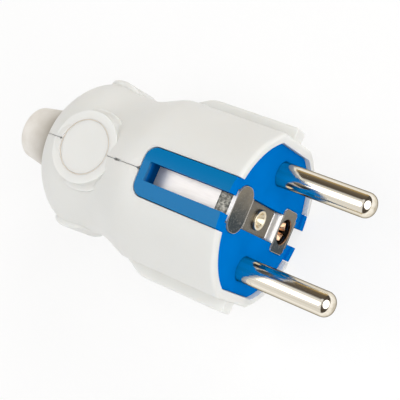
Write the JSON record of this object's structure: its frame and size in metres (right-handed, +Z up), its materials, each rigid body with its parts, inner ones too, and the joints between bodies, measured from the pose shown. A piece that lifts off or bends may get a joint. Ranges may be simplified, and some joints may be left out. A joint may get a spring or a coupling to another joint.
{
  "type": "earthed two-pin mains plug",
  "caption": "White rewirable mains plug with round pins, a blue pin carrier, side earth springs in windowed frames and an earth socket in its face.",
  "frame": {"origin": "centre of the plug's footprint, at the level it lies on", "axes": "+X along the pins towards their tips, +Y from pin to pin, +Z up, out of the side frame that lies uppermost"},
  "size_m": [0.076, 0.0368, 0.0342],
  "materials": {
    "white_plastic": "smooth moulded, soft gloss",
    "blue_plastic": "moulded, satin",
    "nickelled_brass": "bright nickel with turning lines",
    "strap_steel": "plated strip, fine scratches",
    "copper": "bare rolled strip",
    "brass": "turned",
    "screw_steel": "zinc plated",
    "cream_rubber": "matte, soft"
  },
  "bodies": {
    "root": {"upper_shell": "white_plastic", "lower_shell": "white_plastic", "top_cap": "white_plastic", "bottom_cap": "white_plastic", "pin_carrier": "blue_plastic", "live_pin": "nickelled_brass", "neutral_pin": "nickelled_brass", "earth_bridge": "strap_steel", "top_earth_spring": "strap_steel", "bottom_earth_spring": "strap_steel", "earth_sleeve": "copper", "earth_terminal": "brass", "live_screw": "screw_steel", "neutral_screw": "screw_steel", "earth_screw": "screw_steel", "cord_clamp": "white_plastic", "top_clamp_screw": "screw_steel", "bottom_clamp_screw": "screw_steel", "cable_bush": "cream_rubber"}
  },
  "joints": []
}
